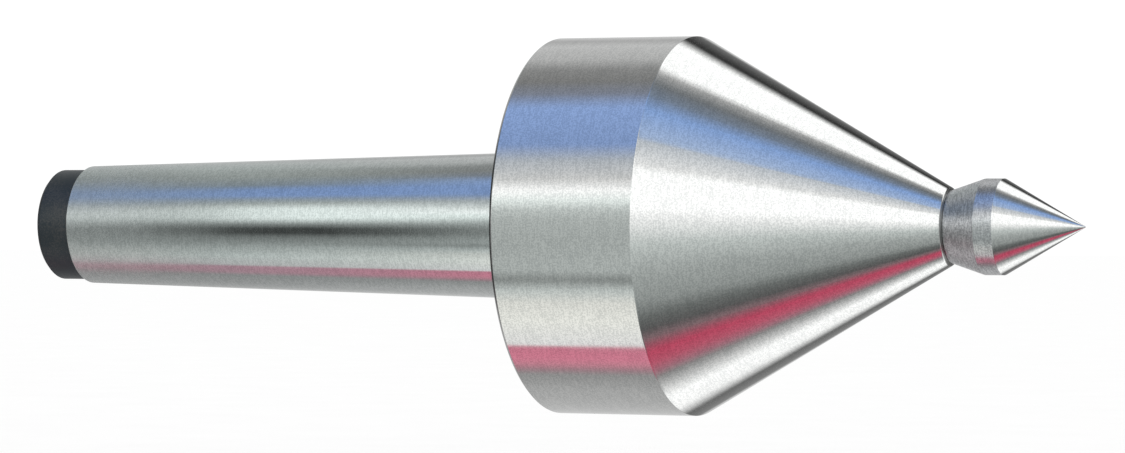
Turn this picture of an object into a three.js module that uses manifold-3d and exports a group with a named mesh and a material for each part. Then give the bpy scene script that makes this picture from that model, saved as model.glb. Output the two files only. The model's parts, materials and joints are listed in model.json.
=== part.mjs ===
// A live centre for a lathe tailstock. A hardened arbor with a No. 3 Morse taper stays still in the quill.
// A large 60 degree head with a slim 60 degree point at its nose turns round it on three bearings: a tapered
// roller bearing that takes the thrust, a deep groove ball bearing that keeps the head from being pulled off,
// and a needle bearing at the end of the arbor. Everything is turned about X. The origin is the middle of the
// taper's gauge line, +X runs to the point and +Z is up. Sizes are in millimetres.
import * as THREE from "three";
import { mergeVertices } from "three/addons/utils/BufferGeometryUtils.js";
import Module from "manifold-3d";

const wasm = await Module();
wasm.setup();

// ---------------------------------------------------------------- driving sizes

const SEGMENTS = 40; // flats round every turned piece

// Clearances
const FIT = 0.02; // radial gap of pieces that are pressed or slid together
const SEAT = 0.02; // axial gap of faces that bear on each other
const RUN = 0.1; // gap of the rollers and balls in their races
const NEEDLE_RUN = 0.04; // the same for the needles, which are much smaller
const POCKET_PLAY = 0.22; // gap round a roller or a ball in its cage
const NEEDLE_PLAY = 0.1; // gap round a needle in its cage
const SEAL_GAP = 0.06; // gap between the seal's lip and the arbor
const LABYRINTH = 0.3; // gap between the cover's bore and the arbor
const EDGE = 0.5; // chamfer on the large outside edges

// No. 3 Morse taper, with a turned tail in place of a tang
const GAUGE_DIAMETER = 23.825;
const TAPER_ON_DIAMETER = 0.050196; // millimetres of diameter for each millimetre of length
const PLUG_LENGTH = 81; // gauge line to the small end
const GAUGE_TO_HEAD = 5; // gauge line to the head's rear face
const TAIL_DIAMETER = 18.5;
const TAIL_LENGTH = 6;
const TAIL_CHAMFER = 0.75;
const CENTRE_HOLE = { mouth: 8.4, pilot: 3.2, pilotDepth: 3.5 };
const NOSE_CENTRE_HOLE = { mouth: 4.2, pilot: 1.6, pilotDepth: 1.8 };

// Head
const HEAD_WALL = 6.75; // outside the thrust bearing
const NOSE_WALL = 2.9; // least wall between the cone's surface and the hollow inside it
const NOSE_DIAMETER = 12; // small end of the cone
const NOSE_WEB = 2.5; // least steel between the arbor's end and the point's hole
const HALF_ANGLE = THREE.MathUtils.degToRad(30); // of both 60 degree cones

// Point
const POINT = { band: 15, bandLength: 3, flareLength: 5.4, shank: 8, shankLength: 8.2, lip: 0.3 };

// Bearings, by bore, outside diameter and width
const THRUST = { bore: 20, outside: 47, width: 15.25, coneWidth: 14, cupWidth: 12 };
const ROLLERS = { count: 15, diameter: 5.9, length: 9, tilt: THREE.MathUtils.degToRad(11), flats: 16 };
const RIBS = { large: 0.45, small: 0.8 }; // how far below a roller's axis the ribs end, in roller radii
const THRUST_CAGE = { sheet: 1, lift: 0.42, flangeDrop: 0.55, flange: 0.7, rearRim: 1.1, frontRim: 1.6 };
const BALL_BEARING = { bore: 17, outside: 35, width: 10 };
const BALLS = { count: 10, diameter: 4.762, detail: 2, pocketFlats: 12 };
// A race's land stands this share of the way from the ring's wall to the balls' centres.
const RACES = { conformity: 1.04, land: 0.62, steps: 4 };
const BALL_CAGE = { sheet: 1.2, rim: 0.7 };
const NEEDLE_BEARING = { bore: 10, section: 2, width: 8, wall: 0.5, lip: 1.7 };
const NEEDLES = { count: 12, length: 5.6, flats: 10 };
const NEEDLE_CAGE = { sheet: 0.6, rim: 0.5 };

// Arbor inside the head
const FLANGE_HEIGHT = 2; // above the taper, the seal runs on it
const FLANGE_INSET = 1; // from the head's rear face to the flange
const JOURNAL_SHORT = 0.4; // the journal stops this far inside its bearing ring
const NOSE_PAST_NEEDLES = 0.5;
const NOSE_ROOM = 1; // between the arbor's nose and the end of the head's bore
const KEYWAY = { width: 4, depth: 1.5 };

// Rear cover and seal
const COVER = { recess: 0.5, web: 1.5, toShoulder: 1, threadStep: 0.7, threadGap: 0.12, noseWall: 2.4 };
const SPANNER_HOLES = { count: 4, diameter: 3, depth: 3, wall: 0.9, flats: 12 };
const SEAL = { section: 5, width: 4.6, inset: 0.3, skin: 1.2 };
// The lip's corners, as shares of the seal's section, and of its width for the edge.
const SEAL_LIP = { root: 0.3, edge: 0.68, waist: 0.26, springSeat: 0.46 };
const LIP_PAST_SPRING = 1.7; // how far the lip runs past its spring's middle, in radii of the spring's seat
const SEAT_ARC = { from: -20, to: -160, steps: 4 }; // degrees of the spring's seat that the lip closes round
const ROUND_SECTION = { from: 0, to: 300, steps: 5 }; // six sides, for the O-ring and the spring
const GARTER_COIL = 1.1; // outside diameter of the spring's coil
const O_RING = { section: 1.3, squeeze: 0.1, toWeb: 1.6, side: 0.2 };

// Spacers, lock washer and nut
const SPACER_LENGTH = 4;
const OUTER_SPACER = { flange: 1.85, lip: 1.1, cupGap: 0.6, ballGap: 2.3 };
const INNER_SPACER_STEP = 1.5; // above the thrust bearing's bore
const WASHER = { thickness: 1, wall: 3.5, tabs: 11, tabWidth: 2.4, tabLength: 2, keyGap: 0.3 };
const NUT = { width: 5, wall: 5.5, slots: 4, slotWidth: 4, slotDepth: 2 };
const NUT_ROOM = { radial: 1, axial: 1.15 }; // free space round the nut
const CAGE_ROOM = 0.6; // between the thrust bearing's cage and the cover
const THROUGH = 1; // how far a cutting shape runs past the surface that it cuts

// ---------------------------------------------------------------- sizes that follow

const taperRadius = (x) => (GAUGE_DIAMETER + TAPER_ON_DIAMETER * x) / 2;

// Stations along X, from the tail to the point
const smallEnd = -PLUG_LENGTH;
const tailEnd = smallEnd - TAIL_LENGTH;
const headRear = GAUGE_TO_HEAD;
const flangeRear = headRear + FLANGE_INSET;
const coverRear = headRear + COVER.recess;
const sealRear = coverRear + SEAL.inset;
const sealFront = sealRear + SEAL.width;
const coverWebRear = sealFront + SEAT;
const coverWebFront = coverWebRear + COVER.web;
const shoulder = coverWebFront + COVER.toShoulder;
const coneFront = shoulder + THRUST.coneWidth;
const thrustFront = shoulder + THRUST.width;
const cupRear = thrustFront - THRUST.cupWidth;
const spacerFlange = thrustFront + OUTER_SPACER.flange;
const ballRear = thrustFront + SPACER_LENGTH;
const ballFront = ballRear + BALL_BEARING.width;
const nutRear = ballFront + WASHER.thickness;
const nutFront = nutRear + NUT.width;
const hollowFront = nutFront + NUT_ROOM.axial;
const needleRear = hollowFront + SEAT;
const needleFront = needleRear + NEEDLE_BEARING.width;
const arborNose = needleFront + NOSE_PAST_NEEDLES;
const headBoreEnd = arborNose + NOSE_ROOM;

// Radii
const cupRadius = THRUST.outside / 2;
const headRadius = cupRadius + HEAD_WALL;
const flangeRadius = taperRadius(flangeRear) + FLANGE_HEIGHT;
const sealRadius = flangeRadius + SEAL.section;
const threadRadius = Math.max(
  cupRadius + COVER.threadStep,
  sealRadius + SPANNER_HOLES.diameter + 2 * SPANNER_HOLES.wall + COVER.threadGap,
);
const thrustJournal = THRUST.bore / 2;
const ballJournal = BALL_BEARING.bore / 2;
const ballRingRadius = BALL_BEARING.outside / 2;
const needleJournal = NEEDLE_BEARING.bore / 2;
const needleCupRadius = needleJournal + NEEDLE_BEARING.section;
const nutRadius = ballJournal + NUT.wall;
const washerRadius = ballJournal + WASHER.wall;
const hollowRadius = nutRadius + NUT_ROOM.radial;
const noseRadius = NOSE_DIAMETER / 2;
const pointRadius = POINT.band / 2;
const pointShankRadius = POINT.shank / 2;

// The cone starts far enough forward to leave its wall outside every corner of the hollow, and to leave room
// for the point's hole in its nose.
const slope = Math.tan(HALF_ANGLE);
const coneStartFor = ([x, r]) => x - (headRadius - r - NOSE_WALL / Math.cos(HALF_ANGLE)) / slope;
const noseNeeded = headBoreEnd + NOSE_WEB + POINT.shankLength + SEAT;
const coneStart = Math.max(
  ...[
    [spacerFlange, cupRadius],
    [ballFront, ballRingRadius],
    [hollowFront, hollowRadius],
    [headBoreEnd, needleCupRadius],
  ].map(coneStartFor),
  noseNeeded - (headRadius - noseRadius) / slope,
);
const nose = coneStart + (headRadius - noseRadius) / slope;
const flareEnd = nose + POINT.flareLength;
const bandEnd = flareEnd + POINT.bandLength;
const tip = bandEnd + pointRadius / slope;

// Thrust bearing: rollers, cone and cup share one apex on the axis, so that they roll without slipping.
const rollerPitch = (THRUST.bore + THRUST.outside) / 4;
const rollerRadius = ROLLERS.diameter / 2;
const rollerCentre = (cupRear + coneFront) / 2;
const apex = rollerCentre + rollerPitch / Math.tan(ROLLERS.tilt);
const rollerHalfTaper = Math.atan((rollerRadius * Math.sin(ROLLERS.tilt)) / rollerPitch);
const coneRace = (x) => (apex - x) * Math.tan(ROLLERS.tilt - rollerHalfTaper);
const cupRace = (x) => (apex - x) * Math.tan(ROLLERS.tilt + rollerHalfTaper);
const rollerAxis = (x) => (apex - x) * Math.tan(ROLLERS.tilt);

// Ball bearing
const ballPitch = (BALL_BEARING.bore + BALL_BEARING.outside) / 4;
const ballCentre = (ballRear + ballFront) / 2;
const ballRadius = BALLS.diameter / 2;

// Needle bearing
const needleRace = needleCupRadius - NEEDLE_BEARING.wall;
const needlePitch = (needleRace + needleJournal) / 2;
const needleRadius = (needleRace - needleJournal) / 2;
const needleCentre = (needleRear + needleFront) / 2;

// ---------------------------------------------------------------- finishes

const finish = (color, roughness, metalness) =>
  new THREE.MeshStandardMaterial({ color, roughness, metalness });
const GROUND_STEEL = finish(0xb4b8b6, 0.28, 1);
const TURNED_STEEL = finish(0xc0c2bf, 0.32, 1);
const POINT_STEEL = finish(0xa6aaa9, 0.35, 1);
const BEARING_STEEL = finish(0xcfd2d4, 0.15, 1);
const CAGE_STEEL = finish(0x9c968a, 0.4, 1);
const BLACKED_STEEL = finish(0x2c2f31, 0.45, 0.8);
const RUBBER = finish(0x17181a, 0.8, 0);

// ---------------------------------------------------------------- shaping

// A piece turned about X, from its outline of [x, radius] points. An outline that starts and ends on the axis
// is solid there, and any other closes on itself as a ring.
function turned(outline, segments = SEGMENTS) {
  const onAxis = outline[0][1] === 0 && outline.at(-1)[1] === 0;
  const loop = onAxis ? outline : [...outline, outline[0]];
  const doubleArea = loop.slice(1).reduce((sum, [x, r], i) => sum + loop[i][0] * r - x * loop[i][1], 0);
  const points = loop.map(([x, r]) => new THREE.Vector2(r, x));
  return new THREE.LatheGeometry(doubleArea > 0 ? points.reverse() : points, segments).rotateZ(-Math.PI / 2);
}

// A box from one corner to the other.
function block(low, high) {
  const size = high.map((h, i) => h - low[i]);
  const middle = high.map((h, i) => (h + low[i]) / 2);
  return new THREE.BoxGeometry(...size).translate(...middle);
}

// The same shape again at equal angles about X.
function spaced(geometry, count, start = 0) {
  return Array.from({ length: count }, (_, i) =>
    geometry.clone().rotateX(start + (2 * Math.PI * i) / count),
  );
}

function solidOf(geometry) {
  const bare = geometry.clone();
  bare.deleteAttribute("normal");
  bare.deleteAttribute("uv");
  const merged = mergeVertices(bare, 1e-4);
  return new wasm.Manifold(
    new wasm.Mesh({
      numProp: 3,
      vertProperties: merged.attributes.position.array,
      triVerts: new Uint32Array(merged.index.array),
    }),
  );
}

function geometryOf(solid) {
  const { vertProperties, triVerts } = solid.getMesh();
  const geometry = new THREE.BufferGeometry();
  geometry.setAttribute("position", new THREE.BufferAttribute(vertProperties, 3));
  geometry.setIndex(new THREE.BufferAttribute(triVerts, 1));
  geometry.computeVertexNormals();
  return geometry;
}

function cut(geometry, tools) {
  const left = tools.reduce((solid, tool) => solid.subtract(solidOf(tool)), solidOf(geometry));
  return geometryOf(left);
}

function join(geometry, extras) {
  const whole = extras.reduce((solid, extra) => solid.add(solidOf(extra)), solidOf(geometry));
  return geometryOf(whole);
}

// Points of an arc about [x, radius], from one angle to another in degrees, in equal steps.
function arc([x, r], radius, { from, to, steps }) {
  return Array.from({ length: steps + 1 }, (_, i) => {
    const angle = THREE.MathUtils.degToRad(from + ((to - from) * i) / steps);
    return [x + radius * Math.cos(angle), r + radius * Math.sin(angle)];
  });
}

const part = new THREE.Group();

function add(name, geometry, material) {
  const mesh = new THREE.Mesh(geometry, material);
  mesh.name = name;
  part.add(mesh);
  return mesh;
}

// ---------------------------------------------------------------- arbor

// The outline of a centre hole, from its end on the axis to its mouth. into is +1 where the hole runs to +X.
function centreHole(face, { mouth, pilot, pilotDepth }, into) {
  const coneDepth = (mouth - pilot) / 2 / slope;
  const pilotEnd = coneDepth + pilotDepth;
  return [
    [face + into * (pilotEnd + (pilot / 2) * slope), 0],
    [face + into * pilotEnd, pilot / 2],
    [face + into * coneDepth, pilot / 2],
    [face, mouth / 2],
  ];
}

function arborGeometry() {
  const tailRadius = TAIL_DIAMETER / 2;
  const body = turned([
    ...centreHole(tailEnd, CENTRE_HOLE, 1),
    [tailEnd, tailRadius - TAIL_CHAMFER],
    [tailEnd + TAIL_CHAMFER, tailRadius],
    [smallEnd, tailRadius],
    [smallEnd + EDGE / 2, taperRadius(smallEnd)],
    [flangeRear, taperRadius(flangeRear)],
    [flangeRear, flangeRadius],
    [shoulder, flangeRadius],
    [shoulder, thrustJournal],
    [coneFront - JOURNAL_SHORT, thrustJournal],
    [coneFront - JOURNAL_SHORT, ballJournal],
    [nutFront + EDGE, ballJournal],
    [nutFront + EDGE, needleJournal],
    [arborNose - EDGE, needleJournal],
    [arborNose, needleJournal - EDGE],
    ...centreHole(arborNose, NOSE_CENTRE_HOLE, -1).reverse(),
  ]);
  // The keyway holds the lock washer's inner tab.
  const keyway = block(
    [ballFront - KEYWAY.width / 2, -KEYWAY.width / 2, ballJournal - KEYWAY.depth],
    [nutFront + 2 * EDGE, KEYWAY.width / 2, ballJournal + THROUGH],
  );
  return cut(body, [keyway]);
}

// ---------------------------------------------------------------- head and point

function headGeometry() {
  const lead = threadRadius + 2 * EDGE;
  return turned([
    [headBoreEnd, 0],
    [headBoreEnd, needleCupRadius],
    [hollowFront, needleCupRadius],
    [hollowFront, hollowRadius],
    [ballFront + SEAT, hollowRadius],
    [ballFront + SEAT, ballRingRadius],
    [spacerFlange + EDGE, ballRingRadius],
    [spacerFlange + EDGE, cupRadius],
    [coverWebFront + SEAT, cupRadius],
    [coverWebFront + SEAT, threadRadius],
    [headRear + 2 * EDGE, threadRadius],
    [headRear, lead],
    [headRear, headRadius - EDGE],
    [headRear + EDGE, headRadius],
    [coneStart, headRadius],
    [nose - POINT.lip, noseRadius + POINT.lip * slope],
    [nose, noseRadius - POINT.lip],
    [nose, pointShankRadius + FIT],
    [nose - POINT.shankLength - SEAT, pointShankRadius + FIT],
    [nose - POINT.shankLength - SEAT, 0],
  ]);
}

function pointGeometry() {
  return turned([
    [nose - POINT.shankLength, 0],
    [nose - POINT.shankLength, pointShankRadius - EDGE],
    [nose - POINT.shankLength + EDGE, pointShankRadius],
    [nose + SEAT, pointShankRadius],
    [nose + SEAT, noseRadius - POINT.lip],
    [flareEnd, pointRadius],
    [bandEnd, pointRadius],
    [tip, 0],
  ]);
}

// ---------------------------------------------------------------- thrust bearing

// The middle of a roller's end face and its radius there. side is -1 for the large end, +1 for the small one.
const rollerEnd = (side) => {
  const along = (side * ROLLERS.length) / 2;
  const x = rollerCentre + along * Math.cos(ROLLERS.tilt);
  return { x, r: rollerAxis(x), radius: rollerRadius - along * Math.tan(rollerHalfTaper) };
};

// The x at which a roller's end face crosses a radius, moved out by a gap.
const endFace = (side, r) => {
  const end = rollerEnd(side);
  return end.x + (r - end.r) * Math.tan(ROLLERS.tilt) + side * RUN;
};

function thrustConeGeometry() {
  const large = rollerEnd(-1);
  const small = rollerEnd(1);
  const largeRib = large.r - RIBS.large * large.radius;
  const smallRib = small.r - RIBS.small * small.radius;
  const largeFoot = endFace(-1, coneRace(large.x));
  const smallFoot = endFace(1, coneRace(small.x));
  return turned([
    [shoulder + SEAT, thrustJournal + FIT],
    [shoulder + SEAT, largeRib],
    [endFace(-1, largeRib), largeRib],
    [largeFoot, coneRace(largeFoot)],
    [smallFoot, coneRace(smallFoot)],
    [endFace(1, smallRib), smallRib],
    [coneFront, smallRib],
    [coneFront, thrustJournal + FIT],
  ]);
}

function thrustCupGeometry() {
  return turned([
    [cupRear, cupRace(cupRear)],
    [thrustFront, cupRace(thrustFront)],
    [thrustFront, cupRadius - FIT - EDGE],
    [thrustFront - EDGE, cupRadius - FIT],
    [cupRear, cupRadius - FIT],
  ]);
}

// Sets a shape that stands along Y on the tilted axis of the roller at the top of the bearing.
const onRollerAxis = (geometry) =>
  geometry.rotateZ(-Math.PI / 2).rotateY(ROLLERS.tilt).translate(rollerCentre, 0, rollerPitch);

function rollerGeometry() {
  const small = rollerEnd(1).radius - RUN;
  const large = rollerEnd(-1).radius - RUN;
  return onRollerAxis(new THREE.CylinderGeometry(small, large, ROLLERS.length, ROLLERS.flats));
}

// The room that the cage gives a roller: a tapered block with square corners.
function rollerWindow() {
  const toCorner = Math.SQRT2;
  const small = (rollerEnd(1).radius + POCKET_PLAY) * toCorner;
  const large = (rollerEnd(-1).radius + POCKET_PLAY) * toCorner;
  const square = new THREE.CylinderGeometry(small, large, ROLLERS.length + 2 * POCKET_PLAY, 4);
  return onRollerAxis(square.rotateY(Math.PI / 4));
}

const cageRear = rollerEnd(-1).x - THRUST_CAGE.rearRim;
const cageInside = (x) => rollerAxis(x) + THRUST_CAGE.lift * rollerRadius;
const cageOutside = (x) => cageInside(x) + THRUST_CAGE.sheet;

function thrustCageGeometry() {
  const front = rollerEnd(1).x + THRUST_CAGE.frontRim;
  const bend = front - THRUST_CAGE.flange;
  const flange = rollerEnd(1).r - THRUST_CAGE.flangeDrop * rollerRadius;
  const cage = turned([
    [cageRear, cageInside(cageRear)],
    [cageRear, cageOutside(cageRear)],
    [front, cageOutside(front)],
    [front, flange],
    [bend, flange],
    [bend, cageInside(bend)],
  ]);
  return cut(cage, spaced(rollerWindow(), ROLLERS.count));
}

// ---------------------------------------------------------------- rear cover and seal

const coverNoseRadius = cupRadius - FIT;
const coverBore = Math.max(coverNoseRadius - COVER.noseWall, cageOutside(cageRear) + CAGE_ROOM);
const grooveRear = coverWebFront + O_RING.toWeb;
const grooveFront = grooveRear + O_RING.section + 2 * O_RING.side;

function rearCoverGeometry() {
  const outside = threadRadius - COVER.threadGap;
  const grooveRadius = cupRadius - O_RING.section + O_RING.squeeze;
  const cover = turned([
    [coverRear, sealRadius + FIT],
    [coverWebRear, sealRadius + FIT],
    [coverWebRear, flangeRadius + LABYRINTH],
    [coverWebFront, flangeRadius + LABYRINTH],
    [coverWebFront, coverBore],
    [cupRear - SEAT, coverBore],
    [cupRear - SEAT, coverNoseRadius],
    [grooveFront, coverNoseRadius],
    [grooveFront, grooveRadius],
    [grooveRear, grooveRadius],
    [grooveRear, coverNoseRadius],
    [coverWebFront - EDGE, coverNoseRadius],
    [coverWebFront - 2 * EDGE, outside],
    [coverRear + EDGE, outside],
    [coverRear, outside - EDGE],
  ]);
  const { count, diameter, depth, flats } = SPANNER_HOLES;
  const hole = new THREE.CylinderGeometry(diameter / 2, diameter / 2, 2 * depth, flats)
    .rotateZ(Math.PI / 2)
    .translate(coverRear, 0, (sealRadius + outside) / 2);
  return cut(cover, spaced(hole, count));
}

// Made a hair thinner than its section, as if squeezed between its groove and the head's bore.
function oRingGeometry() {
  const radius = O_RING.section / 2 - O_RING.squeeze;
  const middle = [(grooveRear + grooveFront) / 2, cupRadius - 2 * FIT - radius];
  return turned(arc(middle, radius, ROUND_SECTION));
}

const lipEdge = sealRear + SEAL_LIP.edge * SEAL.width; // where the lip meets the arbor, under its spring
const garterRadius = flangeRadius + SEAL_LIP.springSeat * SEAL.section;

// Rubber over a steel case: the outer skin holds it in the cover, and the lip runs on the arbor's flange.
function shaftSealGeometry() {
  const root = flangeRadius + SEAL_LIP.root * SEAL.section;
  const seat = GARTER_COIL / 2 + 2 * FIT;
  const lipFront = lipEdge + LIP_PAST_SPRING * seat;
  return turned([
    [sealRear, sealRadius],
    [sealRear, root],
    [sealRear + SEAL.inset, root - SEAL.inset],
    [lipEdge, flangeRadius + SEAL_GAP],
    [lipFront, flangeRadius + SEAL_LIP.waist * SEAL.section],
    [lipFront, garterRadius],
    ...arc([lipEdge, garterRadius], seat, SEAT_ARC),
    [sealRear + SEAL.skin, garterRadius],
    [sealRear + SEAL.skin, sealRadius - SEAL.skin],
    [sealFront, sealRadius - SEAL.skin],
    [sealFront, sealRadius],
  ]);
}

function garterSpringGeometry() {
  return turned(arc([lipEdge, garterRadius], GARTER_COIL / 2, ROUND_SECTION));
}

// ---------------------------------------------------------------- ball bearing

const raceRadius = RACES.conformity * ballRadius; // of the grooves that the balls run in

function ballInnerRingGeometry() {
  const land = ballJournal + (ballPitch - ballJournal) * RACES.land;
  const middle = [ballCentre, ballPitch + raceRadius - ballRadius];
  const reach = THREE.MathUtils.radToDeg(Math.acos((middle[1] - land) / raceRadius));
  return turned([
    [ballRear + SEAT, ballJournal + FIT],
    [ballRear + SEAT, land],
    ...arc(middle, raceRadius, { from: 270 - reach, to: 270 + reach, steps: RACES.steps }),
    [ballFront, land],
    [ballFront, ballJournal + FIT],
  ]);
}

function ballOuterRingGeometry() {
  const outside = ballRingRadius - FIT;
  const land = ballRingRadius - (ballRingRadius - ballPitch) * RACES.land;
  const middle = [ballCentre, ballPitch - raceRadius + ballRadius];
  const reach = THREE.MathUtils.radToDeg(Math.acos((land - middle[1]) / raceRadius));
  return turned([
    [ballRear + SEAT, outside],
    [ballRear + SEAT, land],
    ...arc(middle, raceRadius, { from: 90 + reach, to: 90 - reach, steps: RACES.steps }),
    [ballFront, land],
    [ballFront, outside],
  ]);
}

const ballGeometry = () =>
  new THREE.IcosahedronGeometry(ballRadius - RUN, BALLS.detail).translate(ballCentre, 0, ballPitch);

function ballCageGeometry() {
  const half = ballRadius + POCKET_PLAY + BALL_CAGE.rim;
  const inside = ballPitch - BALL_CAGE.sheet / 2;
  const outside = ballPitch + BALL_CAGE.sheet / 2;
  const cage = turned([
    [ballCentre - half, inside],
    [ballCentre - half, outside],
    [ballCentre + half, outside],
    [ballCentre + half, inside],
  ]);
  const flats = BALLS.pocketFlats;
  const toCorner = (ballRadius + POCKET_PLAY) / Math.cos(Math.PI / flats);
  const pocket = new THREE.CylinderGeometry(toCorner, toCorner, ballRadius, flats)
    .rotateX(Math.PI / 2)
    .translate(ballCentre, 0, ballPitch);
  return cut(cage, spaced(pocket, BALLS.count));
}

// ---------------------------------------------------------------- needle bearing

function needleCupGeometry() {
  const { wall, lip } = NEEDLE_BEARING;
  const outside = needleCupRadius - FIT;
  return turned([
    [needleRear, outside],
    [needleFront, outside],
    [needleFront, needleCupRadius - lip],
    [needleFront - wall, needleCupRadius - lip],
    [needleFront - wall, needleRace],
    [needleRear + wall, needleRace],
    [needleRear + wall, needleCupRadius - lip],
    [needleRear, needleCupRadius - lip],
  ]);
}

function needleGeometry() {
  const radius = needleRadius - NEEDLE_RUN;
  return new THREE.CylinderGeometry(radius, radius, NEEDLES.length, NEEDLES.flats)
    .rotateZ(-Math.PI / 2)
    .translate(needleCentre, 0, needlePitch);
}

function needleCageGeometry() {
  const half = NEEDLES.length / 2 + NEEDLE_CAGE.rim;
  const inside = needlePitch - NEEDLE_CAGE.sheet / 2;
  const outside = needlePitch + NEEDLE_CAGE.sheet / 2;
  const cage = turned([
    [needleCentre - half, inside],
    [needleCentre - half, outside],
    [needleCentre + half, outside],
    [needleCentre + half, inside],
  ]);
  const halfLength = NEEDLES.length / 2 + NEEDLE_PLAY;
  const halfWidth = needleRadius + NEEDLE_PLAY;
  const window = block(
    [needleCentre - halfLength, -halfWidth, inside - THROUGH],
    [needleCentre + halfLength, halfWidth, outside + THROUGH],
  );
  return cut(cage, spaced(window, NEEDLES.count));
}

// ---------------------------------------------------------------- spacers, lock washer and nut

// Passes the cover's clamping force from the cup on to the smaller ring of the ball bearing.
function outerSpacerGeometry() {
  const cupSide = cupRace(thrustFront) + OUTER_SPACER.cupGap;
  const ballSide = ballRingRadius - OUTER_SPACER.ballGap;
  return turned([
    [thrustFront + SEAT, cupSide],
    [thrustFront + SEAT, cupRadius - FIT],
    [spacerFlange, cupRadius - FIT],
    [spacerFlange, ballRingRadius - FIT],
    [ballRear, ballRingRadius - FIT],
    [ballRear, ballSide],
    [thrustFront + OUTER_SPACER.lip, ballSide],
    [thrustFront + OUTER_SPACER.lip, cupSide],
  ]);
}

function innerSpacerGeometry() {
  return turned([
    [coneFront + SEAT, ballJournal + FIT],
    [coneFront + SEAT, thrustJournal + INNER_SPACER_STEP],
    [ballRear, thrustJournal + INNER_SPACER_STEP],
    [ballRear, ballJournal + FIT],
  ]);
}

// A ring with tabs round it: one inner tab sits in the arbor's keyway and one outer tab is bent into the nut.
function lockWasherGeometry() {
  const rear = ballFront + SEAT;
  const front = nutRear - SEAT;
  const bore = ballJournal + FIT;
  const ring = turned([
    [rear, bore],
    [rear, washerRadius],
    [front, washerRadius],
    [front, bore],
  ]);
  const half = WASHER.tabWidth / 2;
  const slotFloor = nutRadius - NUT.slotDepth;
  const tab = block([rear, -half, washerRadius - THROUGH], [front, half, washerRadius + WASHER.tabLength]);
  const bend = block(
    [rear, -half, slotFloor + FIT],
    [nutFront - THROUGH, half, slotFloor + FIT + WASHER.thickness],
  );
  const key = block(
    [rear, -half, ballJournal - KEYWAY.depth + WASHER.keyGap],
    [front, half, ballJournal + THROUGH],
  );
  return join(ring, [...spaced(tab, WASHER.tabs), bend, key]);
}

function locknutGeometry() {
  const bore = ballJournal + FIT;
  const nut = turned([
    [nutRear, bore],
    [nutRear, nutRadius - EDGE],
    [nutRear + EDGE, nutRadius],
    [nutFront, nutRadius],
    [nutFront, bore],
  ]);
  const half = NUT.slotWidth / 2;
  const slot = block(
    [nutRear - THROUGH, -half, nutRadius - NUT.slotDepth],
    [nutFront + THROUGH, half, nutRadius + THROUGH],
  );
  return cut(nut, spaced(slot, NUT.slots));
}

// ---------------------------------------------------------------- assembly

const copies = (prefix, geometry, count, material) =>
  spaced(geometry, count).forEach((copy, i) => {
    const number = String(i + 1).padStart(2, "0");
    add(`${prefix}_${number}`, copy, material);
  });

add("arbor", arborGeometry(), GROUND_STEEL);
add("head", headGeometry(), TURNED_STEEL);
add("point", pointGeometry(), POINT_STEEL);

add("rear_cover", rearCoverGeometry(), TURNED_STEEL);
add("cover_o_ring", oRingGeometry(), RUBBER);
add("shaft_seal", shaftSealGeometry(), RUBBER);
add("seal_garter_spring", garterSpringGeometry(), BEARING_STEEL);

add("thrust_bearing_cone", thrustConeGeometry(), BEARING_STEEL);
add("thrust_bearing_cup", thrustCupGeometry(), BEARING_STEEL);
add("thrust_bearing_cage", thrustCageGeometry(), CAGE_STEEL);
copies("thrust_roller", rollerGeometry(), ROLLERS.count, BEARING_STEEL);

add("outer_spacer", outerSpacerGeometry(), TURNED_STEEL);
add("inner_spacer", innerSpacerGeometry(), TURNED_STEEL);

add("ball_bearing_inner_ring", ballInnerRingGeometry(), BEARING_STEEL);
add("ball_bearing_outer_ring", ballOuterRingGeometry(), BEARING_STEEL);
add("ball_bearing_cage", ballCageGeometry(), CAGE_STEEL);
copies("ball", ballGeometry(), BALLS.count, BEARING_STEEL);

add("lock_washer", lockWasherGeometry(), BLACKED_STEEL);
add("locknut", locknutGeometry(), BLACKED_STEEL);

add("needle_bearing_cup", needleCupGeometry(), BEARING_STEEL);
add("needle_bearing_cage", needleCageGeometry(), CAGE_STEEL);
copies("needle", needleGeometry(), NEEDLES.count, BEARING_STEEL);

export default part;
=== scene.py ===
# %% [markdown]
# # A live centre, made to be looked at
#
# A live centre holds the free end of long work in a lathe. Its arbor has a Morse taper that sticks in the
# tailstock, and its head turns with the work. Nearly everything on it is turned and ground about one
# axis, so this lesson is about two things: spinning a clean outline into a closed piece, and making bare
# steel look like bare steel.
#
# The frame comes first. It holds the bodies that move and their plain CAD solids, and every piece made
# here rides on one of those bodies. The axis is X, the point is at +X, and lengths are in metres.

import json
import math

import bmesh
import bpy
from mathutils import Matrix, Quaternion, Vector


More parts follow.
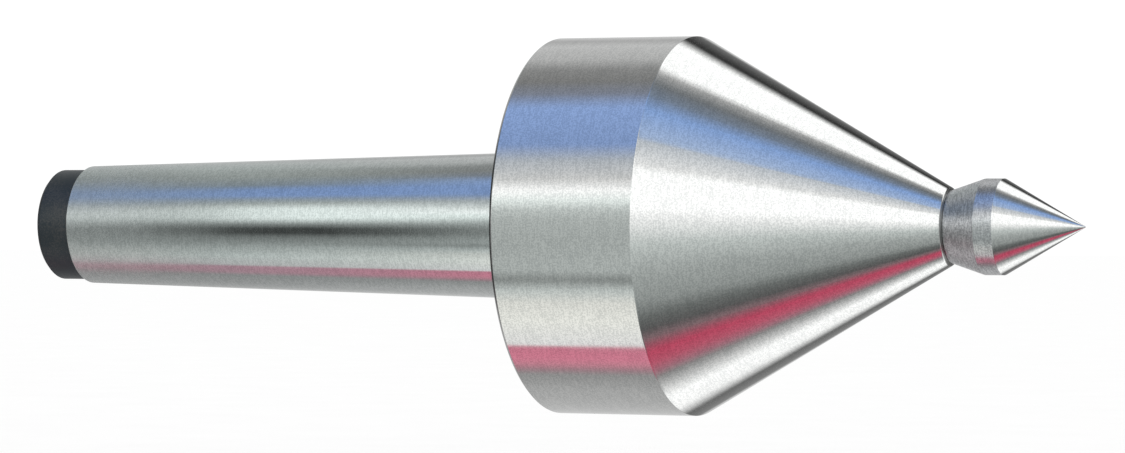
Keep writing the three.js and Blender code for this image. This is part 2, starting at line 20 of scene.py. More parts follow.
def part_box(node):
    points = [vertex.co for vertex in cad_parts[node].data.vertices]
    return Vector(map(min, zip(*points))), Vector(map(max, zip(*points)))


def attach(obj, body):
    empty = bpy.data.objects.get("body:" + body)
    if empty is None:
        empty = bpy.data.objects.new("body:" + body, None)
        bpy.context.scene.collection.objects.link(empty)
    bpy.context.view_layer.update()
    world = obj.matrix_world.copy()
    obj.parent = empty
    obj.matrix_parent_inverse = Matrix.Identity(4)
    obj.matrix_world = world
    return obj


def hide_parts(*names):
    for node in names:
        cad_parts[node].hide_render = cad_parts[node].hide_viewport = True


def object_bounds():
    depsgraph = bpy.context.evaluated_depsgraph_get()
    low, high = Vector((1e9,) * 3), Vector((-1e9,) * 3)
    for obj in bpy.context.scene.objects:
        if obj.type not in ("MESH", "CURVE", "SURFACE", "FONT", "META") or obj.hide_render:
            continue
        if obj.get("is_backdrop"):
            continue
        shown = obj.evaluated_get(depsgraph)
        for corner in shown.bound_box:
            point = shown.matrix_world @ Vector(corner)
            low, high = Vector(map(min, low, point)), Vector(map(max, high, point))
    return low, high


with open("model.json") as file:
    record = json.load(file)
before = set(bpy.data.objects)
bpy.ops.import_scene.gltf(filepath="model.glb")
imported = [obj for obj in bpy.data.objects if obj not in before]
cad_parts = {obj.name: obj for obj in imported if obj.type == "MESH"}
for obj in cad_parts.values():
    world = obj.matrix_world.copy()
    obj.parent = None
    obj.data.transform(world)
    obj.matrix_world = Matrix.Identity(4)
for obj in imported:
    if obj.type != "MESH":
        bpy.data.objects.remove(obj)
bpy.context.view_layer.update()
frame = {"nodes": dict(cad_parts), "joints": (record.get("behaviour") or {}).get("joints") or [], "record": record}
MM = 0.001


# %% [markdown]
# ## Turning a piece
#
# A turned piece is an outline spun round its axis. The outline could be typed in again, but the CAD solid
# already holds it: a half plane that goes out from the axis cuts the solid along exactly that line. So a
# piece made here fits its neighbours as the CAD one does, and follows it when a size changes. The CAD
# solids have 40 flats, and the angle of the half plane runs through their corners, where the radius is
# true.


# %% Take an outline from a CAD solid
SECTION_ANGLE = math.radians(45)  # from the top: clear of the keyway, spanner holes, slots and tabs
MERGE = 1e-6  # vertices this near are one
PLANE = 1e-7  # and this near a cut, they lie on it
STRAIGHT = math.radians(0.5)


def everything(bm):
    return [*bm.verts, *bm.edges, *bm.faces]


def lies_on_axis(edge):
    return all(v.co.z < MERGE for v in edge.verts)


def is_straight(vert):
    """True for a point of a wire that lies on the line between its two neighbours."""
    if len(vert.link_edges) != 2:
        return False
    a, b = (edge.other_vert(vert).co - vert.co for edge in vert.link_edges)
    return a.angle(-b) < STRAIGHT


def outline_of(node):
    """A wire above the axis in the XZ plane: the outline of a turned CAD node."""
    bm = bmesh.new()
    bm.from_mesh(frame["nodes"][node].data)
    bmesh.ops.remove_doubles(bm, verts=bm.verts, dist=MERGE)
    turn_to_top = Matrix.Rotation(SECTION_ANGLE, 3, "X")
    bmesh.ops.rotate(bm, cent=(0, 0, 0), matrix=turn_to_top, verts=bm.verts)
    only_the_plane, all_above = ((0, 1, 0), True), ((0, 0, 1), False)
    for normal, clear_outer in (only_the_plane, all_above):
        bmesh.ops.bisect_plane(
            bm,
            geom=everything(bm),
            dist=PLANE,
            plane_co=(0, 0, 0),
            plane_no=normal,
            clear_inner=True,
            clear_outer=clear_outer,
        )
    bmesh.ops.delete(bm, geom=[e for e in bm.edges if lies_on_axis(e)], context="EDGES_FACES")
    bmesh.ops.dissolve_verts(bm, verts=[v for v in bm.verts if is_straight(v)])
    return bm


# %% [markdown]
# No real corner is perfectly sharp, and a small rounded edge is what catches the light. It is easiest to
# make on the outline, before the spin: each corner that has room for it becomes an arc of a few short
# lines. Then the broad faces decide the normals, so that the rounded edges shade smoothly without tilting
# the flats beside them.


# %% Round its corners and spin it
SPIN_STEPS = 192
ROUND_SEGMENTS = 3
ROOM_FOR_ARC = 2.5  # the shortest line that is rounded at its ends, in radii
SHARP = math.radians(35)
BROAD_FACES_ONLY = 100  # the highest weight: small faces have no say in a normal


def round_corners(bm, radius_mm):
    """Turns each corner of a wire that has room for it into a small arc."""
    radius = radius_mm * MM
    room = ROOM_FOR_ARC * radius
    corners = [
        v
        for v in bm.verts
        if len(v.link_edges) == 2 and v.co.z > room and all(e.calc_length() > room for e in v.link_edges)
    ]
    bmesh.ops.bevel(
        bm,
        geom=corners,
        offset=radius,
        offset_type="OFFSET",
        affect="VERTICES",
        segments=ROUND_SEGMENTS,
        profile=0.5,
        material=-1,
    )


def spin(bm):
    """Spins a wire all the way round the axis and closes the poles."""
    bmesh.ops.spin(
        bm,
        geom=[*bm.verts, *bm.edges],
        cent=(0, 0, 0),
        axis=(1, 0, 0),
        angle=2 * math.pi,
        steps=SPIN_STEPS,
        use_merge=True,
    )
    bmesh.ops.remove_doubles(bm, verts=bm.verts, dist=MERGE)
    bmesh.ops.recalc_face_normals(bm, faces=bm.faces)


def new_object(name, bm):
    mesh = bpy.data.meshes.new(name)
    bm.to_mesh(mesh)
    bm.free()
    piece = bpy.data.objects.new(name, mesh)
    bpy.context.scene.collection.objects.link(piece)
    return piece


def shade(piece):
    """Smooth shading, with sharp corners kept and the broad faces flat."""
    mesh = piece.data
    mesh.polygons.foreach_set("use_smooth", [True] * len(mesh.polygons))
    mesh.set_sharp_from_angle(angle=SHARP)
    flat = piece.modifiers.new("flat faces", "WEIGHTED_NORMAL")
    flat.mode = "FACE_AREA"
    flat.weight = BROAD_FACES_ONLY
    flat.keep_sharp = True


def cut_away(piece, cutters):
    """Subtracts closed shapes from a piece."""
    tool = new_object("cutter", cutters)
    cut = piece.modifiers.new("cut", "BOOLEAN")
    cut.operation = "DIFFERENCE"
    cut.solver = "EXACT"
    cut.object = tool
    graph = bpy.context.evaluated_depsgraph_get()
    whole = piece.data
    piece.data = bpy.data.meshes.new_from_object(piece.evaluated_get(graph))
    piece.modifiers.clear()
    bpy.data.objects.remove(tool)
    bpy.data.meshes.remove(whole)


# %% [markdown]
# Each new piece takes the place of one CAD node, so it can take its body and its material slot from the
# record too. One helper does that for every piece in this file.

# %% Put a piece in the place of its CAD node
BODY_OF = {node: body for body, nodes in frame["record"]["behaviour"]["bodies"].items() for node in nodes}
SLOT_OF = {part["node"]: part["material_slot"] for part in frame["record"]["subparts"]}
finish_of_slot = {}


def stand_for(piece, node):
    """The piece takes the node's place, body and slot, and gets the slot's finish."""
    shade(piece)
    piece.data.materials.clear()
    piece.data.materials.append(finish_of_slot[SLOT_OF[node]])
    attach(piece, BODY_OF[node])
    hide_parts(node)
    return piece


def turned_copy(node, rounding=0.12, cutters=None):
    """A rounded copy of a turned CAD node. The rounding is in millimetres."""
    bm = outline_of(node)
    round_corners(bm, rounding)
    spin(bm)
    piece = new_object(node + "_turned", bm)
    if cutters:
        cut_away(piece, cutters)
    stand_for(piece, node)
    print(piece.name, len(piece.data.polygons), "faces")
    return piece


def outside_radius(node):
    """How far a CAD node reaches from the axis, in metres."""
    return max(v.co.yz.length for v in frame["nodes"][node].data.vertices)


# %% [markdown]
# ## Shader maths as plain expressions
#
# Metal needs several layers of noise, mixed in different shares. Wired by hand that is pages long, so one
# small class wraps a socket and turns + and * into Math nodes. Its tree has one method that adds any
# other node.


# %% Shader helper
# A Mix node has its colour sockets behind those of its other types, under the same names, so they go
# by number.
COLOUR_A, COLOUR_B = 6, 7
MIXED_COLOUR = 2


class Value:
    """An output socket that can be used in a sum."""

    def __init__(self, tree, socket):
        self.tree = tree
        self.socket = socket

    def math(self, operation, *values):
        return self.tree.node("ShaderNodeMath", {"operation": operation}, values)

    def __add__(self, other):
        return self.math("ADD", self, other)

    def __sub__(self, other):
        return self.math("SUBTRACT", self, other)

    def __rsub__(self, other):
        return self.math("SUBTRACT", other, self)

    def __mul__(self, other):
        return self.math("MULTIPLY", self, other)

    def __truediv__(self, other):
        return self.math("DIVIDE", self, other)

    __radd__ = __add__
    __rmul__ = __mul__


class Tree:
    """A node tree, and one method that adds any node to it."""

    def __init__(self, node_tree):
        self.nodes = node_tree.nodes
        self.links = node_tree.links
        self.nodes.clear()

    def node(self, kind, settings=None, inputs=(), output=0):
        """Settings come first, then the values or links of its sockets, by name or in order."""
        made = self.nodes.new(kind)
        for key, value in (settings or {}).items():
            if key == "stops":
                self.set_stops(made.color_ramp, value)
            else:
                setattr(made, key, value)
        pairs = inputs.items() if isinstance(inputs, dict) else enumerate(inputs)
        for key, value in pairs:
            if isinstance(value, Value):
                self.links.new(value.socket, made.inputs[key])
            else:
                made.inputs[key].default_value = value
        if len(made.outputs):
            return Value(self, made.outputs[output])
        return None

    @staticmethod
    def set_stops(ramp, stops):
        while len(ramp.elements) > 1:
            ramp.elements.remove(ramp.elements[-1])
        for i, (place, colour) in enumerate(stops):
            stop = ramp.elements.new(place) if i else ramp.elements[0]
            stop.position = place
            stop.color = (*colour, 1)

    def parts(self, vector):
        """The x, y and z of a vector."""
        split = self.node("ShaderNodeSeparateXYZ", inputs=[vector]).socket.node
        return [Value(self, out) for out in split.outputs]

    def noise(self, vector, scale, detail):
        return self.node("ShaderNodeTexNoise", inputs={"Vector": vector, "Scale": scale, "Detail": detail})

    def fade(self, value, start, end):
        """0 before start, 1 after end, and smooth between."""
        inputs = {"Value": value, "From Min": start, "From Max": end}
        return self.node("ShaderNodeMapRange", {"interpolation_type": "SMOOTHSTEP"}, inputs)

    def blend(self, share, first, second):
        """The first colour where the share is 0, and the second where it is 1."""
        inputs = {"Factor": share, COLOUR_A: first, COLOUR_B: second}
        return self.node("ShaderNodeMix", {"data_type": "RGBA"}, inputs, output=MIXED_COLOUR)


# %% [markdown]
# ## Steel finishes
#
# Turned or ground steel is a mirror that was scratched round its axis. The scratches are far too fine to
# model, so they come from noise whose coordinates follow the surface: one runs along the axis, and the
# direction round the axis is y and z over the radius, which has no seam. Noise that is stretched along
# the circle gives broken lines, as a grinding wheel leaves. Fine even noise gives the sparkle of the
# grain, and slow noise the smudges of handling.


# %% Coordinates that follow a turned surface
class Turned:
    """Object coordinates of a turned piece, along its axis and round it."""

    def __init__(self, tree):
        self.tree = tree
        self.place = tree.node("ShaderNodeTexCoord", output="Object")
        self.x, y, z = tree.parts(self.place)
        self.radius = tree.node("ShaderNodeMath", {"operation": "SQRT"}, [y * y + z * z + 1e-10])
        self.across = y / self.radius
        self.up = z / self.radius

    def lines(self, width_mm, breaks):
        """Scratches of this width. More breaks make each one shorter."""
        stretched = [self.x * (1 / (width_mm * MM)), self.across * breaks, self.up * breaks]
        return self.tree.noise(self.tree.node("ShaderNodeCombineXYZ", inputs=stretched), 1.0, 2.0)

    def grain(self, size_mm, detail=1.0):
        return self.tree.noise(self.place, 1 / (size_mm * MM), detail)


def new_material(name):
    made = bpy.data.materials.new(name)
    made.use_nodes = True
    return made, Tree(made.node_tree)


def steel_shader(tree, colour, roughness, relief, relief_um, metallic=1.0):
    """The shader that every finish ends in. The relief is as deep as relief_um, in micrometres."""
    bump = {"Height": relief, "Strength": 1.0, "Distance": relief_um * MM * MM}
    inputs = {
        "Base Color": colour,
        "Roughness": roughness,
        "Metallic": metallic,
        "Normal": tree.node("ShaderNodeBump", inputs=bump),
    }
    shader = tree.node("ShaderNodeBsdfPrincipled", inputs=inputs)
    tree.node("ShaderNodeOutputMaterial", inputs={"Surface": shader})


# %% [markdown]
# The head was hardened, then turned and polished, so it is the brightest piece and its streaks stay
# crisp. The smudges change its roughness slowly, so they only show where a bright card meets a dark one.

# %% Polished steel of the head
STEEL_LIGHT = (0.68, 0.685, 0.675, 1)
STEEL_DARK = (0.52, 0.53, 0.525, 1)
LIP_PAINTED_SHADE = (0.25, 0.255, 0.25, 1)  # painted shade: the small lip round the point is painted dark; its rougher finish, as the tool left it, is real
LIP_WIDTH = 0.35
LIP_ROUGHER = 0.25
head_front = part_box("head")[1].x / MM


def polished_steel(name, light=STEEL_LIGHT, dark=STEEL_DARK, roughness=0.085, relief_um=1.3):
    made, tree = new_material(name)
    at = Turned(tree)
    lines = at.lines(0.25, breaks=14)
    bands = at.lines(1.3, breaks=2.5)
    grain = at.grain(0.24)
    smudges = at.grain(14, detail=3.0)
    tone = tree.fade(lines * 0.3 + grain * 0.6 + bands * 0.1, 0.41, 0.59)
    rough = roughness + (smudges - 0.5) * 0.12 + (bands - 0.5) * 0.04
    # the lip mask paints shade into the lip's colour, and also makes the lip rougher
    lip = tree.fade(at.x, (head_front - LIP_WIDTH) * MM, (head_front - LIP_WIDTH / 2) * MM)
    colour = tree.blend(lip, tree.blend(tone, dark, light), LIP_PAINTED_SHADE)
    steel_shader(tree, colour, rough + lip * LIP_ROUGHER, lines * 0.35 + grain * 0.65, relief_um)
    return made


finish_of_slot["turned_steel"] = polished_steel("polished_head_steel")
print("finish", finish_of_slot["turned_steel"].name)

# %% [markdown]
# The arbor is one piece with two finishes. Its taper is ground, and duller towards the small end, where
# it rubs in sockets. The tail was blacked when the arbor was hardened, and the wheel that ground the
# taper never reached it. One material does both: masks that read x say where the taper ends and where the
# blacking begins.

# %% Ground taper with a blacked tail
TAIL_LENGTH = 6.0
arbor_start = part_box("arbor")[0].x / MM
small_end = arbor_start + TAIL_LENGTH
TAPER_LIGHT = (0.61, 0.635, 0.63, 1)
TAPER_DARK = (0.47, 0.495, 0.49, 1)
BLACK = (0.034, 0.044, 0.051, 1)
BLACK_WORN = (0.072, 0.073, 0.074, 1)
BORDER = 0.06
DULL_FROM, DULL_TO = 3.0, 35.0  # millimetres from the small end
GROUND_ROUGHNESS = 0.075
DULLER_BY = 0.2  # at the small end
BLACKED_ROUGHNESS = 0.44
BLACKED_METALLIC = 0.7


def ground_taper_steel():
    made, tree = new_material("ground_taper_and_blacked_tail")
    at = Turned(tree)
    lines = at.lines(0.25, breaks=10)
    bands = at.lines(1.6, breaks=2)
    grain = at.grain(0.24)
    smudges = at.grain(12, detail=3.0)
    tone = tree.fade(lines * 0.4 + grain * 0.5 + bands * 0.1, 0.41, 0.59)
    bright = tree.blend(tone, TAPER_DARK, TAPER_LIGHT)
    worn = tree.fade(smudges * 0.6 + grain * 0.4, 0.47, 0.68)
    tail = 1 - tree.fade(at.x, (small_end - BORDER) * MM, (small_end + BORDER) * MM)
    dull = 1 - tree.fade(at.x, (small_end + DULL_FROM) * MM, (small_end + DULL_TO) * MM)
    uneven = (smudges - 0.5) * 0.09 + (bands - 0.5) * 0.05
    ground = GROUND_ROUGHNESS + dull * DULLER_BY + uneven
    steel_shader(
        tree,
        colour=tree.blend(tail, bright, tree.blend(worn, BLACK, BLACK_WORN)),
        roughness=ground + tail * (BLACKED_ROUGHNESS - ground),
        relief=lines * 0.4 + grain * 0.6,
        relief_um=1.7,
        metallic=1 - tail * (1 - BLACKED_METALLIC),
    )
    return made


finish_of_slot["ground_steel"] = ground_taper_steel()
print("taper from", round(small_end, 2), "mm")

# %% [markdown]
# The point is ground only on its cone. The band behind it and the back taper keep a duller turned finish,
# which is why they look grey beside it. The band is also painted darker than the back taper: painted
# shade, for the dimmer reflection it shows. Masks that read x do this too, and the places follow from the
# point's own box.

# %% Point with a ground cone
HALF_ANGLE = math.radians(30)
BAND_LENGTH = 3.0
point_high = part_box("point")[1] / MM
band_end = point_high.x - point_high.z / math.tan(HALF_ANGLE)
band_start = band_end - BAND_LENGTH
TURNED_LIGHT = (0.74, 0.75, 0.76, 1)
TURNED_DARK = (0.38, 0.39, 0.40, 1)
# the band's two colours are painted shade, darker than the back taper's, for the dimmer reflection it shows
SHADED_BAND_LIGHT = (0.56, 0.57, 0.58, 1)
SHADED_BAND_DARK = (0.34, 0.35, 0.36, 1)
TURNED_ROUGHNESS, BAND_ROUGHNESS, CONE_ROUGHNESS = 0.36, 0.25, 0.08


def point_steel():
    made, tree = new_material("point_steel")
    at = Turned(tree)
    lines = at.lines(0.24, breaks=6)
    grain = at.grain(0.22)
    smudges = at.grain(5, detail=2.0)
    tone = tree.fade(lines * 0.45 + grain * 0.55, 0.36, 0.64)
    cone = tree.fade(at.x, (band_end - BORDER) * MM, (band_end + BORDER) * MM)
    band = tree.fade(at.x, (band_start - BORDER) * MM, (band_start + BORDER) * MM)
    turned_steel = tree.blend(tone, TURNED_DARK, TURNED_LIGHT)
    # the band gets its darker colours here: painted shade over the turned finish
    dull = tree.blend(band, turned_steel, tree.blend(tone, SHADED_BAND_DARK, SHADED_BAND_LIGHT))
    bright = tree.blend(tone, STEEL_DARK, STEEL_LIGHT)
    rough = TURNED_ROUGHNESS + (smudges - 0.5) * 0.06
    rough = rough + band * (BAND_ROUGHNESS - TURNED_ROUGHNESS)
    rough = rough + cone * (CONE_ROUGHNESS - BAND_ROUGHNESS)
    steel_shader(tree, tree.blend(cone, dull, bright), rough, lines * 0.4 + grain * 0.6, 2.0)
    return made


finish_of_slot["point_steel"] = point_steel()
print("band from", round(band_start, 2), "to", round(band_end, 2), "mm")

# %% [markdown]
# Inside are four more finishes. Bearing rings and rollers are near mirrors, cages are pressed from sheet
# and look softer and warmer, the nut and its washer are black oxide, and the seal is moulded rubber with
# a faint bloom.


# %% Finishes of the inner pieces
def black_oxide():
    made, tree = new_material("black_oxide")
    at = Turned(tree)
    grain = at.grain(0.25)
    smudges = at.grain(6, detail=3.0)
    worn = tree.fade(grain * 0.5 + smudges * 0.5, 0.48, 0.7)
    colour = tree.blend(worn, BLACK, BLACK_WORN)
    steel_shader(tree, colour, 0.36 + smudges * 0.16, grain, relief_um=6.0, metallic=BLACKED_METALLIC)
    return made


def seal_rubber():
    made, tree = new_material("seal_rubber")
    at = Turned(tree)
    grain = at.grain(0.2)
    bloom = tree.fade(at.grain(7, detail=3.0), 0.4, 0.75)
    colour = tree.blend(bloom, (0.012, 0.012, 0.013, 1), (0.038, 0.037, 0.036, 1))
    steel_shader(tree, colour, 0.5 + bloom * 0.25, grain, relief_um=12.0, metallic=0.0)
    return made


finish_of_slot["bearing_steel"] = polished_steel(
    "bearing_steel",
    light=(0.74, 0.75, 0.76, 1),
    dark=(0.66, 0.67, 0.68, 1),
    roughness=0.11,
    relief_um=1.2,
)
finish_of_slot["cage_steel"] = polished_steel(
    "pressed_cage_steel",
    light=(0.52, 0.48, 0.40, 1),
    dark=(0.40, 0.37, 0.31, 1),
    roughness=0.34,
    relief_um=8.0,
)
finish_of_slot["blacked_steel"] = black_oxide()
finish_of_slot["rubber"] = seal_rubber()
for node, piece in frame["nodes"].items():
    piece.data.materials.clear()
    piece.data.materials.append(finish_of_slot[SLOT_OF[node]])
print(len(frame["nodes"]), "CAD nodes have one of", len(finish_of_slot), "finishes")

# %% [markdown]
# ## The arbor
#
# From the tail: a blacked plain end with a centre hole in it, for grinding between centres, the long
# taper, a flange for the seal, and the journals inside the head. A keyway near its nose keys the lock
# washer, so the spun shape has one cut in it, and that cut takes its place from the washer and the nut.

# %% Arbor
KEYWAY_WIDTH = 4.0
KEYWAY_DEPTH = 1.5
KEYWAY_PAST_NUT = 1.0
SPACER_WALL = 3.0  # the inner spacer's, over the journal that the nut is on


def add_block(bm, low, high):
    """A box between two corners in millimetres, made from a unit cube."""
    size = [(h - l) * MM for l, h in zip(low, high)]
    middle = [(h + l) / 2 * MM for l, h in zip(low, high)]
    place = Matrix.Translation(middle) @ Matrix.Diagonal((*size, 1))
    bmesh.ops.create_cube(bm, size=1, matrix=place)


def keyway_cutter():
    washer_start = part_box("lock_washer")[0].x / MM
    nut_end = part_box("locknut")[1].x / MM
    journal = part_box("inner_spacer")[1].z / MM - SPACER_WALL
    bm = bmesh.new()
    add_block(
        bm,
        (washer_start - KEYWAY_WIDTH / 2, -KEYWAY_WIDTH / 2, journal - KEYWAY_DEPTH),
        (nut_end + KEYWAY_PAST_NUT, KEYWAY_WIDTH / 2, journal + KEYWAY_DEPTH),
    )
    return bm


arbor = turned_copy("arbor", cutters=keyway_cutter())

# %% [markdown]
# ## The head and the point
#
# The head is one piece of steel: a cylinder that becomes a 60 degree cone, with bores inside that step
# down round the three bearings. Outside, its edges matter most: a small chamfer behind, a crisp line
# where the cone begins, and a narrow lip round the hole that the point sits in. The copy of its outline
# has all of them.
#
# The point needs one change. A cone that ends in a single vertex is a long fan of triangles, and the
# normal at that vertex smears their shading. A ground tip is slightly blunt anyway, so the outline is cut
# just short of the end and closed with a tiny rounded tip.

# %% Head and point
head = turned_copy("head", rounding=0.1)
BLUNT = 0.12


def blunt_tip(bm):
    """Cuts the front end off a wire and closes it on the axis."""
    bmesh.ops.bisect_plane(
        bm,
        geom=everything(bm),
        dist=PLANE,
        plane_co=((point_high.x - BLUNT) * MM, 0, 0),
        plane_no=(1, 0, 0),
        clear_outer=True,
    )
    cut_end = max(bm.verts, key=lambda v: v.co.x)
    tip = bmesh.ops.extrude_vert_indiv(bm, verts=[cut_end])["verts"][0]
    tip.co = ((point_high.x - BLUNT / 2) * MM, 0, 0)


def make_point():
    bm = outline_of("point")
    blunt_tip(bm)
    round_corners(bm, 0.06)
    spin(bm)
    return stand_for(new_object("point_turned", bm), "point")


point = make_point()
print("point", len(point.data.polygons), "faces")

# %% [markdown]
# ## The rear cover and the seal
#
# The cover screws into the back of the head, and its four holes are for a pin spanner. They are drilled,
# so each is a cylinder with a small countersink, cut from the spun ring. The seal and the O-ring are spun
# from their own outlines.

# %% Rear cover, seal and O-ring
SPANNER_HOLES = 4
SPANNER_HOLE_RADIUS = 1.5
SPANNER_HOLE_DEPTH = 3.0
COUNTERSINK = 0.3


def add_drilled_hole(bm, place):
    """A cylinder along X with a countersink, centred on the place's origin."""
    along_x = Matrix.Rotation(math.pi / 2, 4, "Y")
    wide = SPANNER_HOLE_RADIUS + COUNTERSINK
    shapes = [
        (SPANNER_HOLE_RADIUS, SPANNER_HOLE_RADIUS, 2 * SPANNER_HOLE_DEPTH),
        (wide + COUNTERSINK, SPANNER_HOLE_RADIUS, 4 * COUNTERSINK),
    ]
    for rear, front, length in shapes:
        bmesh.ops.create_cone(
            bm,
            cap_ends=True,
            segments=48,
            radius1=rear * MM,
            radius2=front * MM,
            depth=length * MM,
            matrix=place @ along_x,
        )


def spanner_hole_cutters():
    cover_low, cover_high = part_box("rear_cover")
    seal_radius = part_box("shaft_seal")[1].z
    place = Matrix.Translation((cover_low.x, 0, (seal_radius + cover_high.z) / 2))
    bm = bmesh.new()
    for i in range(SPANNER_HOLES):
        add_drilled_hole(bm, Matrix.Rotation(2 * math.pi * i / SPANNER_HOLES, 4, "X") @ place)
    return bm


cover = turned_copy("rear_cover", cutters=spanner_hole_cutters())
seal = turned_copy("shaft_seal", rounding=0.1)
o_ring = turned_copy("cover_o_ring", rounding=0.15)

# %% [markdown]
# A garter spring is a long coil of fine wire whose ends are screwed together. It presses the seal's lip
# on the arbor and is a ring of coils, not a plain ring. A spin with a small step along its axis makes one
# turn, copies of it in a row make a straight coil, and then every vertex is wrapped round the ring. The
# number of turns is whole, so the two ends meet and merge.

# %% Garter spring
WIRE_RADIUS = 0.12 * MM
COIL_TURNS = 300
STEPS_PER_TURN = 12
WIRE_SEGMENTS = 6


def wrap_round_axis(bm, length, ring_radius, middle):
    """Bends a shape that stands along Y, of this length, into a ring about X."""
    for v in bm.verts:
        angle = 2 * math.pi * v.co.y / length
        reach = ring_radius + v.co.z
        v.co = (middle + v.co.x, reach * math.sin(angle), reach * math.cos(angle))


def make_garter_spring():
    low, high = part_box("seal_garter_spring")
    coil_radius = (high.x - low.x) / 2
    ring_radius = outside_radius("seal_garter_spring") - coil_radius
    length = 2 * math.pi * ring_radius
    pitch = length / COIL_TURNS
    bm = bmesh.new()
    section = bmesh.ops.create_circle(bm, segments=WIRE_SEGMENTS, radius=WIRE_RADIUS)["verts"]
    bmesh.ops.translate(bm, vec=(coil_radius - WIRE_RADIUS, 0, 0), verts=section)
    bmesh.ops.spin(
        bm,
        geom=[*bm.verts, *bm.edges],
        cent=(0, 0, 0),
        axis=(0, 1, 0),
        dvec=(0, pitch / STEPS_PER_TURN, 0),
        angle=2 * math.pi,
        steps=STEPS_PER_TURN,
    )
    one_turn = everything(bm)
    for i in range(1, COIL_TURNS):
        copied = bmesh.ops.duplicate(bm, geom=one_turn)["geom"]
        added = [part for part in copied if isinstance(part, bmesh.types.BMVert)]
        bmesh.ops.translate(bm, vec=(0, pitch * i, 0), verts=added)
    wrap_round_axis(bm, length, ring_radius, (low.x + high.x) / 2)
    bmesh.ops.remove_doubles(bm, verts=bm.verts, dist=MERGE)
    bmesh.ops.recalc_face_normals(bm, faces=bm.faces)
    return stand_for(new_object("seal_garter_spring_coil", bm), "seal_garter_spring")


spring = make_garter_spring()
print("spring", len(spring.data.polygons), "faces")

# %% [markdown]
# ## The bearings
#
# Every ring in the bearings is a turned copy too. The cages and the lock washer are sheet metal, whose
# plain CAD shapes are right as they are, so those keep their solids and only get a finish.

# %% Bearing rings, spacers and the locknut
RING_NODES = (
    "thrust_bearing_cone",
    "thrust_bearing_cup",
    "ball_bearing_inner_ring",
    "ball_bearing_outer_ring",
    "needle_bearing_cup",
    "inner_spacer",
    "outer_spacer",
)
NUT_SLOTS = 4
NUT_SLOT_WIDTH = 4.0
NUT_SLOT_DEPTH = 2.0
PAST = 1.0  # how far a cutter runs past what it cuts


def nut_slot_cutters():
    low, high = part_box("locknut")
    radius = outside_radius("locknut") / MM
    half = NUT_SLOT_WIDTH / 2
    bm = bmesh.new()
    for i in range(NUT_SLOTS):
        slot_low = (low.x / MM - PAST, -half, radius - NUT_SLOT_DEPTH)
        before = set(bm.verts)
        add_block(bm, slot_low, (high.x / MM + PAST, half, radius + PAST))
        turn = Matrix.Rotation(2 * math.pi * i / NUT_SLOTS, 3, "X")
        added = [v for v in bm.verts if v not in before]
        bmesh.ops.rotate(bm, cent=(0, 0, 0), matrix=turn, verts=added)
    return bm


rings = [turned_copy(node, rounding=0.25) for node in RING_NODES]
locknut = turned_copy("locknut", rounding=0.15, cutters=nut_slot_cutters())

# %% [markdown]
# Rollers, needles and balls roll on axes of their own, and the record holds those axes, because each one
# is the joint of a body that turns. A roller's length and end radii are measured along its axis on the
# CAD solid. Its ends are rounded, because a sharp end would cut into its race.

# %% Rollers, needles and balls
JOINT_OF = {joint["child"]: joint for joint in frame["joints"]}
ROLLER_SEGMENTS = 64
NEEDLE_SEGMENTS = 32
ROLLER_ROUNDING = 0.3
NEEDLE_ROUNDING = 0.12
END_SEGMENTS = 4
BALL_DIVISIONS = 5
ON_THE_END = 10 * MERGE


def numbered(prefix):
    return sorted(node for node in frame["nodes"] if node.startswith(prefix) and node[-1].isdigit())


def rolling_axis(node):
    joint = JOINT_OF[BODY_OF[node]]
    return Vector(joint["pos_m"]), Vector(joint["axis"]).normalized()


def roller_ends(node):
    """Where a roller's two ends are along its axis, and their radii."""
    middle, axis = rolling_axis(node)
    points = [v.co - middle for v in frame["nodes"][node].data.vertices]
    along = [p.dot(axis) for p in points]
    away = [(p - axis * t).length for p, t in zip(points, along)]
    ends = min(along), max(along)
    return [(end, max(r for t, r in zip(along, away) if abs(t - end) < ON_THE_END)) for end in ends]


def make_roller(node, segments, rounding):
    (rear, rear_radius), (front, front_radius) = roller_ends(node)
    middle, axis = rolling_axis(node)
    along_axis = axis.to_track_quat("Z", "Y").to_matrix().to_4x4()
    place = Matrix.Translation(middle + axis * (rear + front) / 2) @ along_axis
    bm = bmesh.new()
    bmesh.ops.create_cone(
        bm,
        cap_ends=True,
        segments=segments,
        radius1=rear_radius,
        radius2=front_radius,
        depth=front - rear,
        matrix=place,
    )
    rims = [e for e in bm.edges if any(len(f.verts) == segments for f in e.link_faces)]
    bmesh.ops.bevel(
        bm,
        geom=rims,
        offset=rounding * MM,
        offset_type="OFFSET",
        affect="EDGES",
        segments=END_SEGMENTS,
        profile=0.5,
        material=-1,
    )
    return stand_for(new_object(node + "_ground", bm), node)


def make_ball(node):
    middle, _ = rolling_axis(node)
    radius = max((v.co - middle).length for v in frame["nodes"][node].data.vertices)
    bm = bmesh.new()
    place = Matrix.Translation(middle)
    bmesh.ops.create_icosphere(bm, subdivisions=BALL_DIVISIONS, radius=radius, matrix=place)
    return stand_for(new_object(node + "_ground", bm), node)


rollers = [make_roller(node, ROLLER_SEGMENTS, ROLLER_ROUNDING) for node in numbered("thrust_roller_")]
needles = [make_roller(node, NEEDLE_SEGMENTS, NEEDLE_ROUNDING) for node in numbered("needle_")]
balls = [make_ball(node) for node in numbered("ball_")]
print(len(rollers), "rollers,", len(needles), "needles and", len(balls), "balls")

# %% [markdown]
# ## The studio
#
# Bare steel has hardly any colour of its own. What it shows is the room, so the studio matters as much as
# the finish. On a turned piece a reflection depends on two things: how far round the axis it points, and
# how far it points forward or back. So the room is five rings of long cards that lie along the axis. The
# cones see the ring ahead, which has the strongest contrast, and the cylinder sees the one beside it. The
# taper sees two rings behind, the further one near its small end, and the point's back taper sees the
# rearmost.
#
# The room is a World shader. Only reflections see the cards, while the floor and the camera see plain
# white.

